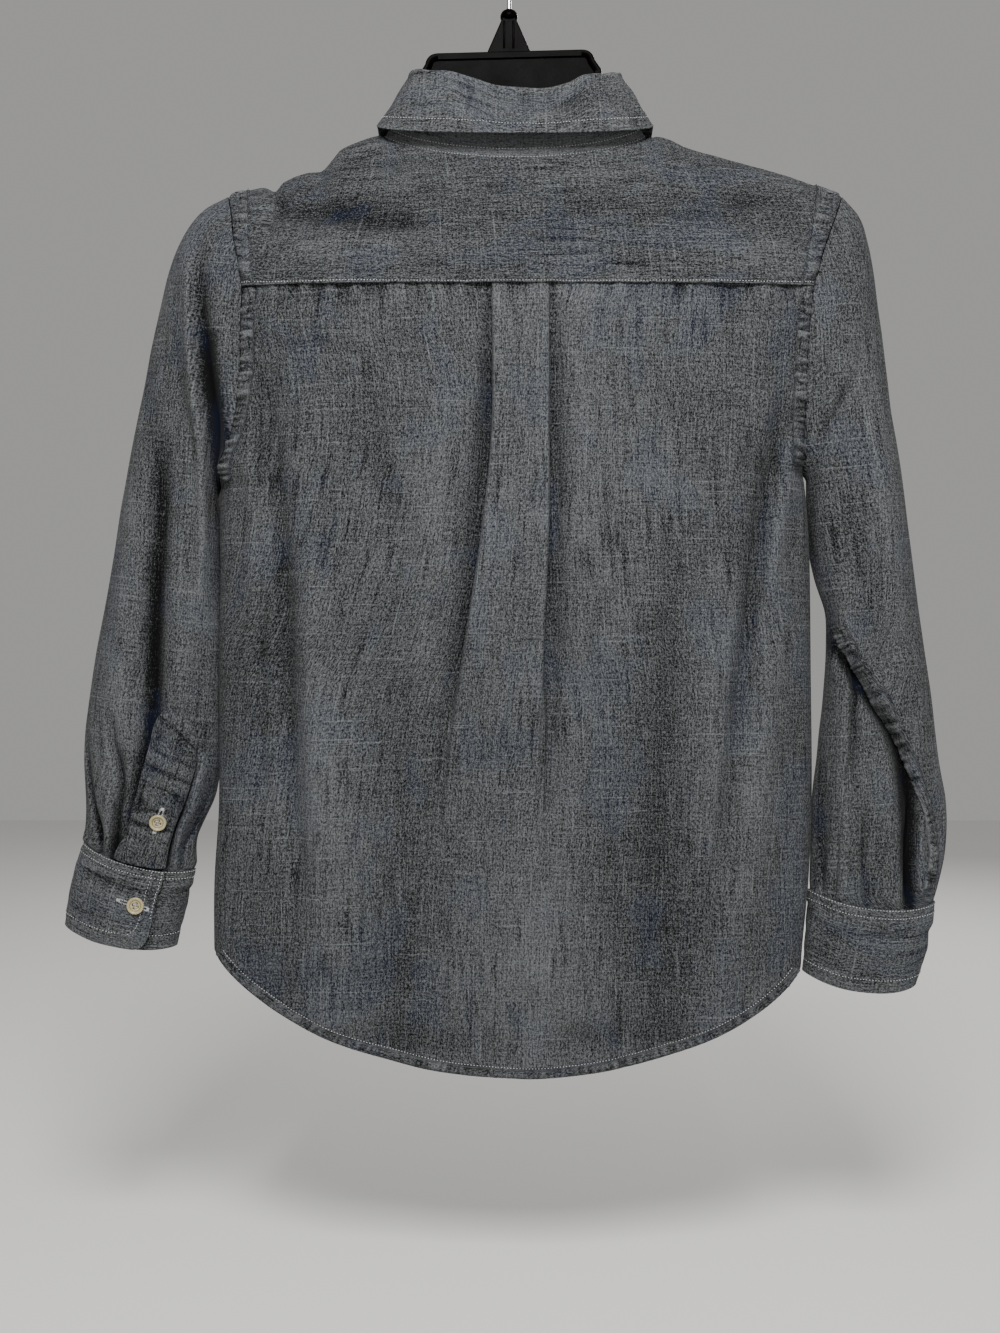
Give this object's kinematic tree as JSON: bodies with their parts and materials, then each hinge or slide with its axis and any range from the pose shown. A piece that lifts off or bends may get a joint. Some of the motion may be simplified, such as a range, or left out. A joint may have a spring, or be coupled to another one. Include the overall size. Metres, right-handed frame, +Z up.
{
  "type": "button-up shirt on a hanger",
  "caption": "Long-sleeved cotton chambray shirt hanging buttoned on a plastic hanger with a wire hook; its back has a yoke and a box pleat.",
  "frame": {"origin": "inside top of the hanger's hook, where a rail carries it", "axes": "+Z up, +Y out of the shirt's front, +X towards the wearer's right"},
  "size_m": [0.5751, 0.08, 0.7624],
  "materials": {
    "chambray": "plain-weave cotton, mottled slate blue and grey, matt",
    "button": "ivory resin, satin",
    "hanger_plastic": "very dark brown moulded plastic, glossy rim",
    "hook_wire": "bright plated steel wire"
  },
  "bodies": {
    "root": {"back_panel": "chambray", "yoke": "chambray", "left_front": "chambray", "right_front": "chambray", "front_placket": "chambray", "collar_stand": "chambray", "collar_leaf": "chambray", "sleeve_left": "chambray", "cuff_left": "chambray", "sleeve_placket_left": "chambray", "sleeve_right": "chambray", "cuff_right": "chambray", "sleeve_placket_right": "chambray", "button_front_1": "button", "button_front_2": "button", "button_front_3": "button", "button_front_4": "button", "button_front_5": "button", "button_front_6": "button", "button_front_7": "button", "button_collar_stand": "button", "button_cuff_left": "button", "button_sleeve_left": "button", "button_cuff_right": "button", "button_sleeve_right": "button", "hanger_body": "hanger_plastic", "hanger_hook": "hook_wire"}
  },
  "joints": []
}
